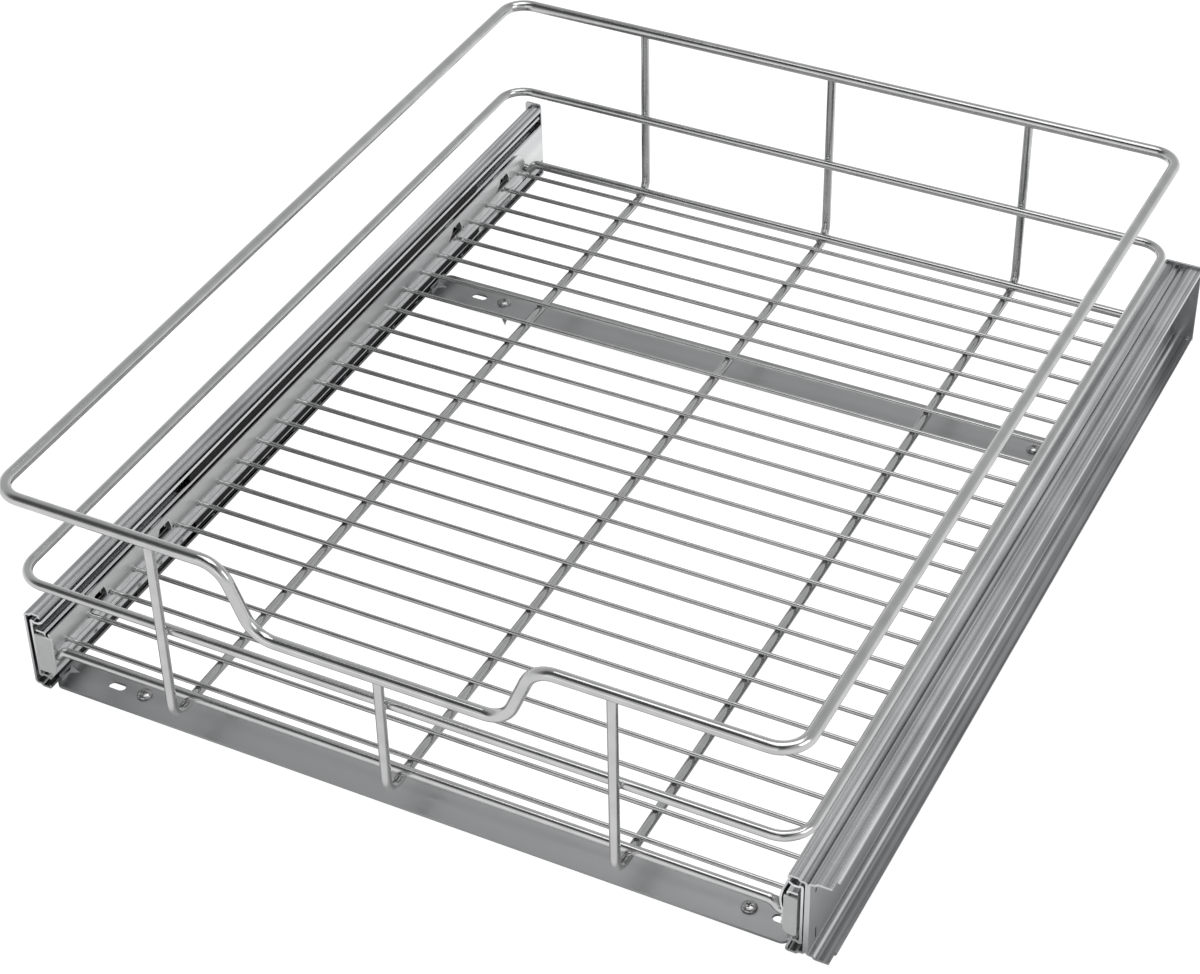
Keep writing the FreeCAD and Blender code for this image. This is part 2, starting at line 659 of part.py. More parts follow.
def build_slides():
    """Writes both slides and returns the pieces that the basket's wires end on."""
    wire_ends = []
    outer_gap = SHEET + CAGE_GAP
    inner_gap = MIDDLE_WEB_DEPTH + SHEET / 2 + CAGE_GAP
    for side, name in SIDES:
        save(name + "_outer_rail", outer_rail(side))
        save(name + "_middle_rail", middle_rail(side))
        carriers = (("_inner_rail", inner_rail(side)), ("_side_strip", side_strip(side)))
        for suffix, shape in carriers:
            wire_ends.append(shape)
            save(name + suffix, shape)
        centres = ball_centres(side, OUTER_BALL_DEPTH, OUTER_BALL_HEIGHT)
        save(name + "_outer_cage", cage(side, outer_gap, OUTER_CAGE_EDGE, centres, OUTER_BALL))
        save(name + "_outer_balls", balls(centres, OUTER_BALL))
        centres = ball_centres(side, INNER_BALL_DEPTH, INNER_BALL_HEIGHT)
        inner_cage = cage(side, inner_gap, INNER_CAGE_EDGE, centres, INNER_BALL)
        save(name + "_inner_cage", inner_cage.multiFuse(ribbed_lips(side)).removeSplitter().Solids[0])
        save(name + "_inner_balls", balls(centres, INNER_BALL))
        save(name + "_end_block", end_block(side))
        save(name + "_rear_bumper", rear_bumper(side))
    save("right_side_channel", side_channel())
    save("left_end_plate", end_plate(LEFT, PLATE_OVERHANG))
    save("right_end_plate", end_plate(RIGHT, SIDE_CHANNEL_DEPTH))
    return wire_ends


def build_crossbars():
    """Writes the crossbars and their screws."""
    save("front_crossbar", crossbar(FRONT_BAR))
    save("rear_crossbar", crossbar(FRONT_BAR + BAR_SPACING))
    save("floor_screws", floor_screws())


def build_basket(wire_ends):
    """Writes the wire basket."""
    rim = top_rim()
    save("top_rim", rim)
    save("middle_rim", middle_rim())
    for x, front_height, name in ((-SUPPORT_SPACING, TOP_RIM_HEIGHT, "left"),
                                  (0.0, SCOOP_HEIGHT, "centre"),
                                  (SUPPORT_SPACING, TOP_RIM_HEIGHT, "right")):
        save(name + "_support_wire", support_wire(x, front_height, rim))
    save("front_floor_wire", cross_wire(CROSS_WIRE_FRONT, wire_ends))
    save("rear_floor_wire", cross_wire(CROSS_WIRE_BACK, wire_ends))
    save("floor_wires", floor_wires(wire_ends))


os.makedirs("parts", exist_ok=True)
build_crossbars()
build_basket(build_slides())
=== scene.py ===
"""Looks of a pull-out wire basket on telescopic slides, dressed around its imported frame."""

import logging
import math
from collections.abc import Callable, Iterable
from dataclasses import dataclass
from enum import Enum

import bpy
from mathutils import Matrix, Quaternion, Vector


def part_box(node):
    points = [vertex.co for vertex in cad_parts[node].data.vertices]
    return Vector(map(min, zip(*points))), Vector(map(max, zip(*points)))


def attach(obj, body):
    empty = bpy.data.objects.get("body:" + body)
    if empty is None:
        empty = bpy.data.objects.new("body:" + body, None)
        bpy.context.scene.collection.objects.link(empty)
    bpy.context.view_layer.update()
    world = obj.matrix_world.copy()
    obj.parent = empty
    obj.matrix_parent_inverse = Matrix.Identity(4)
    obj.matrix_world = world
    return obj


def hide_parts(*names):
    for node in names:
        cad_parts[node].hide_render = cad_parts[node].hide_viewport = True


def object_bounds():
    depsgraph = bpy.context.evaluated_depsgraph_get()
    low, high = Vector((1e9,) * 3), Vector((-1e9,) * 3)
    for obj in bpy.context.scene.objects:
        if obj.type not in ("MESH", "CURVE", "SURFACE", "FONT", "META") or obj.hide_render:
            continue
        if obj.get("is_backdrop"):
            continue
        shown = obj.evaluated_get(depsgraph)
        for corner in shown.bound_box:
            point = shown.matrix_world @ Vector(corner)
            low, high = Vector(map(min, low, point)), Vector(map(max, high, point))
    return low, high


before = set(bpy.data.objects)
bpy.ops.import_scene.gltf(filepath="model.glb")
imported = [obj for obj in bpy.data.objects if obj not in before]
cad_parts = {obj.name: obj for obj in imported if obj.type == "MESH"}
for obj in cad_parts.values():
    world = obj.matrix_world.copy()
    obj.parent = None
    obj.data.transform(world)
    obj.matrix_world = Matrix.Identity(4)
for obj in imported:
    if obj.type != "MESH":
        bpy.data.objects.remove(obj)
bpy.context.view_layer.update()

MM = 0.001
MERGE_GAP = 2e-6
FLAT_ANGLE = 0.5
EDGE_ANGLE = 50.0
EDGE_SEGMENTS = 3
SMOOTH_ANGLE = 32.0
FLAT_WEIGHT = 100
FACING = 0.9

Triple = tuple[float, float, float]
Feed = float | tuple[float, ...] | Vector | bpy.types.NodeSocket

logger = logging.getLogger("organizer")


class Grain(Enum):
    """Stretch of a pattern, which sets the way that rolled, drawn or ground lines run."""

    ALONG_X = (0.02, 1.0, 1.0)
    ALONG_Y = (1.0, 0.004, 0.2)
    NONE = (1.0, 1.0, 1.0)


class Side(Enum):
    """The two slides, by the start of their nodes' names."""

    LEFT = "left_"
    RIGHT = "right_"


def link_new(name: str, mesh: bpy.types.Mesh) -> bpy.types.Object:
    """Puts a mesh into the scene as a new object at the origin.

    Args:
        name: Name of the piece.
        mesh: Its mesh, with its place in its vertices.

    Returns:
        The new object.
    """
    piece = bpy.data.objects.new(name, mesh)
    bpy.context.scene.collection.objects.link(piece)
    return piece


def select_only(*pieces: bpy.types.Object) -> None:
    """Selects only these pieces and makes the first one active."""
    bpy.ops.object.select_all(action="DESELECT")
    for piece in pieces:
        piece.select_set(True)
    bpy.context.view_layer.objects.active = pieces[0]


def bake_place(piece: bpy.types.Object) -> None:
    """Moves a piece's place, turn and scale into its mesh."""
    select_only(piece)
    bpy.ops.object.transform_apply(location=True, rotation=True, scale=True)


def apply_all(piece: bpy.types.Object) -> None:
    """Applies every modifier of a piece, in order."""
    select_only(piece)
    for modifier in list(piece.modifiers):
        bpy.ops.object.modifier_apply(modifier=modifier.name)


def joined(pieces: list[bpy.types.Object], name: str) -> bpy.types.Object:
    """Joins pieces into one.

    Args:
        pieces: The pieces, which become one mesh.
        name: Name of the result.

    Returns:
        The joined object.
    """
    select_only(*pieces)
    if len(pieces) > 1:
        bpy.ops.object.join()
    result = bpy.context.view_layer.objects.active
    result.name = name
    return result


def add_bevel(piece: bpy.types.Object, width: float, segments: int,
              angle: float) -> bpy.types.Modifier:
    """Adds a modifier that rounds the sharp edges of a piece.

    Args:
        piece: The piece.
        width: Width of the rounding, in metres.
        segments: Number of faces across it.
        angle: Angle in degrees past which an edge is rounded.

    Returns:
        The modifier.
    """
    bevel = piece.modifiers.new("edges", "BEVEL")
    bevel.width = width
    bevel.segments = segments
    bevel.limit_method = "ANGLE"
    bevel.angle_limit = math.radians(angle)
    return bevel


def smooth_round_flats(piece: bpy.types.Object) -> None:
    """Shades a piece smooth between its sharp edges, with its large faces left flat."""
    select_only(piece)
    bpy.ops.object.shade_smooth_by_angle(angle=math.radians(SMOOTH_ANGLE))
    normals = piece.modifiers.new("flat_faces", "WEIGHTED_NORMAL")
    normals.keep_sharp = True
    normals.weight = FLAT_WEIGHT
    apply_all(piece)


def softened(node: str, name: str, edge: float) -> bpy.types.Object:
    """Copy of a CAD node with flat faces made whole and sharp edges rounded.

    Args:
        node: Name of the CAD node.
        name: Name of the new piece.
        edge: Width of the rounding, in metres.

    Returns:
        The new piece, which stands for the node.
    """
    piece = link_new(name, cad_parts[node].data.copy())
    select_only(piece)
    bpy.ops.object.mode_set(mode="EDIT")
    bpy.ops.mesh.select_all(action="SELECT")
    bpy.ops.mesh.remove_doubles(threshold=MERGE_GAP)
    bpy.ops.mesh.dissolve_limited(angle_limit=math.radians(FLAT_ANGLE))
    bpy.ops.object.mode_set(mode="OBJECT")
    add_bevel(piece, edge, EDGE_SEGMENTS, EDGE_ANGLE).miter_outer = "MITER_ARC"
    apply_all(piece)
    smooth_round_flats(piece)
    piece.data.materials.clear()
    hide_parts(node)
    return piece


def select_faces(piece: bpy.types.Object,
                 wanted: Callable[[bpy.types.MeshPolygon], bool]) -> None:
    """Selects only the faces that a test picks, for the piece in edit mode.

    Args:
        piece: The piece, which is active and in edit mode.
        wanted: Test of a face by its normal or centre.
    """
    bpy.ops.mesh.select_mode(type="FACE")
    bpy.ops.mesh.select_all(action="DESELECT")
    bpy.ops.object.mode_set(mode="OBJECT")
    for face in piece.data.polygons:
        face.select = wanted(face)
    bpy.ops.object.mode_set(mode="EDIT")


def draw_out(radius: float, level: float, rings: Iterable[tuple[float, float]]) -> None:
    """Extrudes the selected round end face along Z, ring by ring.

    Args:
        radius: Radius of the end face.
        level: Its height.
        rings: Radius and height of each ring that follows.
    """
    for reach, height in rings:
        share = reach / radius
        bpy.ops.mesh.extrude_region_move(TRANSFORM_OT_translate={"value": (0, 0, height - level)})
        bpy.ops.transform.resize(value=(share, share, 1.0))
        radius, level = reach, height


def add_node(tree: bpy.types.NodeTree, kind: str, feeds: dict[str | int, Feed] | None = None,
             **settings: str | bpy.types.NodeTree) -> bpy.types.Node:
    """Adds a shader node.

    Args:
        tree: The tree that it goes into.
        kind: Its type.
        feeds: What each of its inputs gets: a value, or an output that is linked to it.
        **settings: Its options, which are set first.

    Returns:
        The node.
    """
    node = tree.nodes.new(kind)
    for option, choice in settings.items():
        setattr(node, option, choice)
    for socket, feed in (feeds or {}).items():
        if isinstance(feed, bpy.types.NodeSocket):
            tree.links.new(feed, node.inputs[socket])
        else:
            node.inputs[socket].default_value = feed
    return node


def add_math(tree: bpy.types.NodeTree, operation: str, *feeds: Feed) -> bpy.types.NodeSocket:
    """Adds a Math node.

    Args:
        tree: The tree that it goes into.
        operation: Its operation.
        *feeds: Its inputs, each a value or an output.

    Returns:
        The output that holds its result.
    """
    node = add_node(tree, "ShaderNodeMath", dict(enumerate(feeds)), operation=operation)
    return node.outputs["Value"]


@dataclass(frozen=True)
class Layer:
    """Noise in a node group, spread over 0 to 1, with the names of its scale and its output."""

    scale: str
    default: float
    output: str
    low: float
    high: float
    detail: float = 2.0
    roughness: float = 0.5


class GroupMaker:
    """Builds the shader node groups that several finishes share."""

    LINES = (Layer("Fine", 900.0, "Lines", 0.33, 0.67, 2.0, 0.6),
             Layer("Coarse", 260.0, "Bands", 0.33, 0.67, 1.0, 0.6))
    PLATING = (Layer("Patch", 18.0, "Patches", 0.3, 0.7),
               Layer("Speck", 700.0, "Specks", 0.45, 0.75))

    def __init__(self) -> None:
        """Builds each group once."""
        self.grain = self._group("rolling_lines", self.LINES)
        self.cloud = self._group("plating", self.PLATING)

    @staticmethod
    def _group(name: str, layers: tuple[Layer, ...]) -> bpy.types.NodeTree:
        """Makes a group of noise layers on one vector.

        Args:
            name: Name of the group.
            layers: Its layers.

        Returns:
            The group's tree.
        """
        tree = bpy.data.node_groups.new(name, "ShaderNodeTree")
        interface = tree.interface
        interface.new_socket("Vector", in_out="INPUT", socket_type="NodeSocketVector")
        for layer in layers:
            scale = interface.new_socket(
                layer.scale, in_out="INPUT", socket_type="NodeSocketFloat")
            scale.default_value = layer.default
        for layer in layers:
            interface.new_socket(layer.output, in_out="OUTPUT", socket_type="NodeSocketFloat")
        source = add_node(tree, "NodeGroupInput")
        sink = add_node(tree, "NodeGroupOutput")
        for layer in layers:
            noise = add_node(tree, "ShaderNodeTexNoise", {
                "Vector": source.outputs["Vector"], "Scale": source.outputs[layer.scale],
                "Detail": layer.detail, "Roughness": layer.roughness})
            spread = add_node(tree, "ShaderNodeMapRange", {
                "Value": noise.outputs["Fac"], "From Min": layer.low, "From Max": layer.high})
            tree.links.new(spread.outputs["Result"], sink.inputs[layer.output])
        return tree


@dataclass(frozen=True)
class Finish:
    """A surface finish with lines, patches and specks."""

    name: str
    slot: str
    dark: Triple
    light: Triple
    metallic: float
    smooth: float
    rough: float
    grain: Grain = Grain.NONE
    fine: float = 900.0
    coarse: float = 260.0
    bump: float = 0.05
    bump_depth: float = 0.00002
    patch: float = 18.0
    band_share: float = 0.75
    patch_share: float = 0.25
    line_share: float = 0.85
    speck_share: float = 0.15

    def build(self, groups: GroupMaker) -> bpy.types.Material:
        """Makes the material.

        Args:
            groups: The shared node groups.

        Returns:
            The finished material.
        """
        material = bpy.data.materials.new(self.name)
        material.use_nodes = True
        tree = material.node_tree
        shader = tree.nodes["Principled BSDF"]
        shader.inputs["Metallic"].default_value = self.metallic
        place = add_node(tree, "ShaderNodeTexCoord").outputs["Object"]
        stretch = add_node(tree, "ShaderNodeMapping", {"Vector": place, "Scale": self.grain.value})
        lines = add_node(tree, "ShaderNodeGroup", {
            "Vector": stretch.outputs["Vector"], "Fine": self.fine, "Coarse": self.coarse},
            node_tree=groups.grain).outputs
        plate = add_node(tree, "ShaderNodeGroup", {"Vector": place, "Patch": self.patch},
                         node_tree=groups.cloud).outputs

        share = add_math(tree, "MULTIPLY", plate["Patches"], self.patch_share)
        tone = add_math(tree, "MULTIPLY_ADD", lines["Bands"], self.band_share, share)
        colours = add_node(tree, "ShaderNodeMix", {
            "Factor": tone, "A": (*self.dark, 1.0), "B": (*self.light, 1.0)}, data_type="RGBA")
        speck = add_math(tree, "MULTIPLY", plate["Specks"], self.speck_share)
        mixed = add_math(tree, "MULTIPLY_ADD", lines["Lines"], self.line_share, speck)
        rough = add_node(tree, "ShaderNodeMapRange", {
            "Value": mixed, "To Min": self.smooth, "To Max": self.rough})
        bump = add_node(tree, "ShaderNodeBump", {
            "Strength": self.bump, "Distance": self.bump_depth, "Height": lines["Lines"]})
        for output, socket in ((colours.outputs["Result"], "Base Color"),
                               (rough.outputs["Result"], "Roughness"),
                               (bump.outputs["Normal"], "Normal")):
            tree.links.new(output, shader.inputs[socket])
        return material


ZINC_FLANGE = Finish(
    "zinc_rolled_flange", "zinc_plated_rail", (0.22, 0.225, 0.23), (0.90, 0.905, 0.91),
    1.0, 0.20, 0.28, Grain.ALONG_Y, fine=420.0, coarse=600.0, bump=0.02)
ZINC_INNER = Finish(
    "zinc_bright_inner", "zinc_plated_rail", (0.60, 0.605, 0.61), (0.76, 0.765, 0.77),
    1.0, 0.10, 0.15, Grain.ALONG_Y, fine=420.0, coarse=500.0, bump=0.02)
ZINC_STRIP = Finish(
    "zinc_satin_strip", "zinc_plated_rail", (0.74, 0.745, 0.75), (0.82, 0.825, 0.83),
    1.0, 0.33, 0.37, Grain.ALONG_Y, fine=420.0, coarse=300.0, bump=0.02)
ZINC_WEB = Finish(
    "zinc_satin_web", "zinc_plated_rail", (0.56, 0.565, 0.575), (0.62, 0.625, 0.635),
    1.0, 0.28, 0.33, Grain.ALONG_Y, fine=420.0, coarse=300.0, bump=0.01)
BAR_STEEL = Finish(
    "crossbar_plate", "crossbar_steel", (0.45, 0.455, 0.46), (0.50, 0.505, 0.51),
    1.0, 0.28, 0.38, Grain.ALONG_X, coarse=120.0, bump=0.03, patch=9.0)
WIRE_CHROME = Finish(
    "wire_satin_chrome", "chromed_wire", (0.50, 0.505, 0.50), (0.58, 0.585, 0.58),
    1.0, 0.13, 0.18, fine=500.0, coarse=90.0, bump=0.02)
WELD_CHROME = Finish(
    "weld_chrome", "chromed_wire", (0.34, 0.34, 0.34), (0.50, 0.50, 0.50),
    1.0, 0.26, 0.42, fine=700.0, coarse=300.0, bump=0.2, bump_depth=0.00006)
# Near-black bead finish: painted shade, standing in for the shade where the thin floor wires cross
# the support wires.
WELD_PAINTED_SHADE = Finish(
    "weld_bead_painted_shade", "chromed_wire", (0.03, 0.03, 0.03), (0.16, 0.16, 0.16),
    1.0, 0.30, 0.45, fine=700.0, coarse=300.0, bump=0.2, bump_depth=0.00006)
SCREW_STEEL = Finish(
    "screw_plate", "screw_steel", (0.36, 0.36, 0.36), (0.48, 0.48, 0.48),
    1.0, 0.10, 0.18, fine=700.0, coarse=300.0)
BALL_STEEL = Finish(
    "ball_polish", "bearing_steel", (0.70, 0.70, 0.71), (0.78, 0.78, 0.79), 1.0, 0.04, 0.10)
CAGE_BLACK = Finish(
    "cage_black", "cage_plastic", (0.012, 0.012, 0.013), (0.03, 0.03, 0.032),
    0.0, 0.38, 0.55, Grain.ALONG_Y, coarse=300.0, bump=0.12)
BLOCK_GREY = Finish(
    "block_grey", "block_plastic", (0.84, 0.86, 0.85), (0.90, 0.92, 0.91),
    0.0, 0.36, 0.52, coarse=120.0, bump=0.1)
BUMPER_BLACK = Finish(
    "bumper_black", "bumper_rubber", (0.015, 0.015, 0.015), (0.03, 0.03, 0.03),
    0.0, 0.55, 0.75, bump=0.2)
# The floor weld bead finish in this list is painted shade.
FINISHES = (ZINC_FLANGE, ZINC_INNER, ZINC_STRIP, ZINC_WEB, BAR_STEEL, WIRE_CHROME, WELD_CHROME,
            WELD_PAINTED_SHADE, SCREW_STEEL, BALL_STEEL, CAGE_BLACK, BLOCK_GREY, BUMPER_BLACK)


class Paint:
    """The finished materials and how they are put on pieces."""

    UP_OR_DOWN = 0.5

    def __init__(self) -> None:
        """Builds every finish."""
        groups = GroupMaker()
        self.materials = {finish: finish.build(groups) for finish in FINISHES}

    def node(self, name: str, finish: Finish) -> None:
        """Gives a CAD node a finish."""
        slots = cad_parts[name].data.materials
        slots.clear()
        slots.append(self.materials[finish])

    def piece(self, piece: bpy.types.Object, finish: Finish, body: str) -> None:
        """Gives a new piece its finish and its body, and reports it."""
        piece.data.materials.clear()
        piece.data.materials.append(self.materials[finish])
        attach(piece, body)
        logger.info("%s on %s: %d faces", piece.name, body, len(piece.data.polygons))

    def flats(self, piece: bpy.types.Object, finish: Finish) -> None:
        """Gives the faces of a piece that look up or down a finish of their own.

        Args:
            piece: The piece, which has its finish for the other faces.
            finish: The finish of these faces.
        """
        piece.data.materials.append(self.materials[finish])
        last = len(piece.data.materials) - 1
        for face in piece.data.polygons:
            if abs(face.normal.z) > self.UP_OR_DOWN:
                face.material_index = last


@dataclass
class Slide:
    """One telescopic slide, with its bearings, block and bumper."""

    side: Side
    sheet_edge: float = 0.18 * MM
    block_edge: float = 0.5 * MM

    def dress(self, paint: Paint) -> None:
        """Finishes every node of the slide."""
        near = self.side.value
        self._sheet(paint, near + "outer_rail", ZINC_WEB, "cabinet_frame", ZINC_FLANGE)
        self._sheet(paint, near + "middle_rail", ZINC_INNER, near + "middle_member")
        self._sheet(paint, near + "inner_rail", ZINC_INNER, "basket")
        self._sheet(paint, near + "side_strip", ZINC_STRIP, "basket")
        block = softened(near + "end_block", near + "end_block_moulding", self.block_edge)
        paint.piece(block, BLOCK_GREY, "basket")
        for part, finish in (("outer_cage", CAGE_BLACK), ("inner_cage", CAGE_BLACK),
                             ("outer_balls", BALL_STEEL), ("inner_balls", BALL_STEEL),
                             ("rear_bumper", BUMPER_BLACK)):
            paint.node(near + part, finish)
        self._sheet(paint, near + "end_plate", ZINC_WEB, "cabinet_frame")
        if self.side is Side.RIGHT:
            self._sheet(paint, "right_side_channel", ZINC_WEB, "cabinet_frame", ZINC_FLANGE)

    def _sheet(self, paint: Paint, node: str, finish: Finish, body: str,
               flats: Finish | None = None) -> None:
        """Dresses one piece of folded or rolled sheet.

        Args:
            paint: The finishes.
            node: Name of its CAD node.
            finish: Its finish.
            body: The body that it rides on.
            flats: Finish of its faces that look up or down, if they have their own.
        """
        sheet = softened(node, node + "_sheet", self.sheet_edge)
        paint.piece(sheet, finish, body)
        if flats:
            paint.flats(sheet, flats)


@dataclass
class FloorScrew:
    """One pan-head wood screw with a cross recess, modelled on the Z axis with its point down."""

    seat: float
    point: float
    head_radius: float = 3.7 * MM
    head_vertices: int = 36
    rim_height: float = 0.7 * MM
    crown_height: float = 2.2 * MM
    rings: int = 6
    recess_length: float = 4.0 * MM
    recess_width: float = 0.95 * MM
    recess_depth: float = 1.4 * MM
    recess_taper: float = 0.6
    recess_edge: float = 0.08 * MM
    recess_segments: int = 2
    recess_angle: float = 40.0
    neck_radius: float = 1.6 * MM
    neck_step: float = 0.2 * MM
    core_radius: float = 1.45 * MM
    core_vertices: int = 24
    tip_radius: float = 0.12 * MM
    tip_gap: float = 0.1 * MM
    smooth_angle: float = 35.0
    thread_radius: float = 2.0 * MM
    thread_start: float = -0.9 * MM
    thread_run_in: float = 0.4
    thread_flank: float = 0.62
    thread_steps: int = 20
    thread_angle: float = 50.0
    taper_start: float = -8.0 * MM
    taper: float = 0.9
    pitch: float = 1.55 * MM

    def build(self, name: str) -> bpy.types.Object:
        """Models the whole screw.

        Args:
            name: Name of the piece.

        Returns:
            The screw, on the Z axis.
        """
        return joined([self._head(), self._core(), self._thread()], name)

    def _head(self) -> bpy.types.Object:
        """Domed head with a tapered cross recess."""
        bpy.ops.object.select_all(action="DESELECT")
        bpy.ops.mesh.primitive_cylinder_add(
            vertices=self.head_vertices, radius=self.head_radius, depth=self.rim_height,
            location=(0, 0, self.seat + self.rim_height / 2))
        head = bpy.context.view_layer.objects.active
        bake_place(head)
        bpy.ops.object.mode_set(mode="EDIT")
        select_faces(head, lambda face: face.normal.z > FACING)
        turns = [ring / self.rings * math.pi / 2 for ring in range(1, self.rings)]
        dome = self.crown_height - self.rim_height
        draw_out(self.head_radius, 0.0,
                 [(self.head_radius * math.cos(turn), dome * math.sin(turn)) for turn in turns])
        bpy.ops.object.mode_set(mode="OBJECT")
        self._recess(head, self.recess_length, self.recess_width)
        self._recess(head, self.recess_width, self.recess_length)
        add_bevel(head, self.recess_edge, self.recess_segments, self.recess_angle)
        apply_all(head)
        bpy.ops.object.shade_smooth_by_angle(angle=math.radians(self.smooth_angle))
        return head

    def _recess(self, head: bpy.types.Object, along: float, across: float) -> None:
        """Cuts one tapered bar of the cross into the head."""
        top = self.seat + self.crown_height
        bpy.ops.object.select_all(action="DESELECT")
        bpy.ops.mesh.primitive_cube_add(size=1.0, location=(0, 0, top))
        cutter = bpy.context.view_layer.objects.active
        cutter.scale = (along, across, 2 * self.recess_depth)
        bake_place(cutter)
        bpy.ops.object.mode_set(mode="EDIT")
        select_faces(cutter, lambda face: face.normal.z < -FACING)
        bpy.ops.transform.resize(value=(self.recess_taper, self.recess_taper, 1.0))
        bpy.ops.object.mode_set(mode="OBJECT")
        cut = head.modifiers.new("recess", "BOOLEAN")
        cut.operation = "DIFFERENCE"
        cut.solver = "EXACT"
        cut.object = cutter
        apply_all(head)
        bpy.data.objects.remove(cutter)

    def _core(self) -> bpy.types.Object:
        """Neck and core, drawn out to the point."""
        bpy.ops.object.select_all(action="DESELECT")
        length = self.seat - self.thread_start
        bpy.ops.mesh.primitive_cylinder_add(
            vertices=self.core_vertices, radius=self.neck_radius, depth=length,
            location=(0, 0, self.seat - length / 2))
        core = bpy.context.view_layer.objects.active
        bake_place(core)
        bpy.ops.object.mode_set(mode="EDIT")
        select_faces(core, lambda face: face.normal.z < -FACING)
        draw_out(self.neck_radius, self.thread_start,
                 ((self.core_radius, self.thread_start - self.neck_step),
                  (self.core_radius, self.taper_start),
                  (self.tip_radius, self.point + self.tip_gap)))
        bpy.ops.object.mode_set(mode="OBJECT")
        select_only(core)
        bpy.ops.object.shade_smooth_by_angle(angle=math.radians(self.smooth_angle))
        return core

    def _thread(self) -> bpy.types.Object:
        """Thread wound round the core, which narrows with it towards the point."""
        bpy.ops.object.select_all(action="DESELECT")
        start = self.thread_start - self.thread_run_in * self.pitch
        bpy.ops.mesh.primitive_circle_add(
            vertices=4, radius=self.thread_radius - self.core_radius, fill_type="NGON",
            location=(self.core_radius, 0, start), rotation=(math.pi / 2, 0, 0))
        thread = bpy.context.view_layer.objects.active
        thread.scale = (1.0, self.thread_flank, 1.0)
        bake_place(thread)
        winding = thread.modifiers.new("winding", "SCREW")
        winding.screw_offset = -self.pitch
        winding.iterations = int((start - self.point) / self.pitch)
        winding.steps = winding.render_steps = self.thread_steps
        winding.use_normal_calculate = True
        apply_all(thread)
        for vertex in thread.data.vertices:
            share = (self.taper_start - vertex.co.z) / (self.taper_start - self.point)
            narrow = 1.0 - self.taper * min(max(share, 0.0), 1.0)
            vertex.co.x *= narrow
            vertex.co.y *= narrow
        bpy.ops.object.mode_set(mode="EDIT")
        bpy.ops.mesh.select_all(action="SELECT")
        bpy.ops.mesh.normals_make_consistent(inside=False)
        bpy.ops.object.mode_set(mode="OBJECT")
        bpy.ops.object.shade_smooth_by_angle(angle=math.radians(self.thread_angle))
        return thread


@dataclass
class FloorFrame:
    """The crossbars and the screws that hold them to the cabinet's floor."""

    bar_edge: float = 0.45 * MM
    bar_thickness: float = 1.5 * MM
    first_turn: float = 20.0
    turn_step: float = 65.0

    def dress(self, paint: Paint) -> None:
        """Finishes the crossbars and the screws."""
        for name in ("front_crossbar", "rear_crossbar"):
            bar = softened(name, name + "_plate", self.bar_edge)
            paint.piece(bar, BAR_STEEL, "cabinet_frame")
        self._screws(paint)

    def _screws(self, paint: Paint) -> None:
        """Sets a threaded screw in each of the four round holes, each turned its own way."""
        low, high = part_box("floor_screws")
        pattern = FloorScrew(seat=self.bar_thickness, point=low.z).build("screw_pattern")
        inset = FloorScrew.head_radius
        places = [(x, y) for y in (low.y + inset, high.y - inset)
                  for x in (low.x + inset, high.x - inset)]
        copies = []
        for number, (x, y) in enumerate(places):
            screw = link_new(f"screw_{number}", pattern.data.copy())
            screw.location = (x, y, 0)
            screw.rotation_euler.z = math.radians(self.first_turn + self.turn_step * number)
            bake_place(screw)
            copies.append(screw)
        bpy.data.objects.remove(pattern)
        screws = joined(copies, "threaded_floor_screws")
        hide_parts("floor_screws")
        paint.piece(screws, SCREW_STEEL, "cabinet_frame")


@dataclass
class Bead:
    """Flattened bead of metal that a weld squeezes out, by its half sizes."""

    size: Triple
    segments: int = 12
    ring_count: int = 7
    cap: float = 0.6
    cap_spread: float = 1.15
    cap_press: float = 0.8
    unevenness: float = 0.06
    seed: int = 3
    smoothing: float = 0.4

    def build(self) -> bpy.types.Object:
        """Models the bead at the origin."""
        bpy.ops.object.select_all(action="DESELECT")
        bpy.ops.mesh.primitive_uv_sphere_add(
            segments=self.segments, ring_count=self.ring_count, radius=1.0)
        bead = bpy.context.view_layer.objects.active
        bead.scale = self.size
        bake_place(bead)
        height = self.size[2]
        bpy.ops.object.mode_set(mode="EDIT")
        select_faces(bead, lambda face: abs(face.center.z) > self.cap * height)
        bpy.ops.transform.resize(value=(self.cap_spread, self.cap_spread, self.cap_press))
        bpy.ops.mesh.select_all(action="SELECT")
        bpy.ops.transform.vertex_random(offset=self.unevenness * height, seed=self.seed)
        bpy.ops.mesh.vertices_smooth(factor=self.smoothing)
        bpy.ops.object.mode_set(mode="OBJECT")
        bpy.ops.object.shade_smooth()
        return bead


@dataclass
class Collar:
    """Fillet round the end of a wire that runs along X, hollow between its two rims."""

    root: float = 1.9 * MM
    tip: float = 1.25 * MM
    length: float = 1.4 * MM
    vertices: int = 14
    hollow: float = 0.86
    hollow_start: float = 0.25
    hollow_end: float = 0.75
    smooth_angle: float = 60.0

    def build(self) -> bpy.types.Object:
        """Models the fillet at the origin, with its root towards +X."""
        bpy.ops.object.select_all(action="DESELECT")
        bpy.ops.mesh.primitive_cone_add(
            vertices=self.vertices, radius1=self.root, radius2=self.tip, depth=self.length,
            location=(-self.length / 2, 0, 0), rotation=(0, -math.pi / 2, 0))
        collar = bpy.context.view_layer.objects.active
        bake_place(collar)
        bpy.ops.object.mode_set(mode="EDIT")
        select_faces(collar, lambda face: abs(face.normal.x) < FACING)
        bpy.ops.mesh.subdivide(number_cuts=1)
        bpy.ops.object.mode_set(mode="OBJECT")
        for vertex in collar.data.vertices:
            if -self.hollow_end * self.length < vertex.co.x < -self.hollow_start * self.length:
                vertex.co.y *= self.hollow
                vertex.co.z *= self.hollow
        bpy.ops.object.shade_smooth_by_angle(angle=math.radians(self.smooth_angle))
        return collar


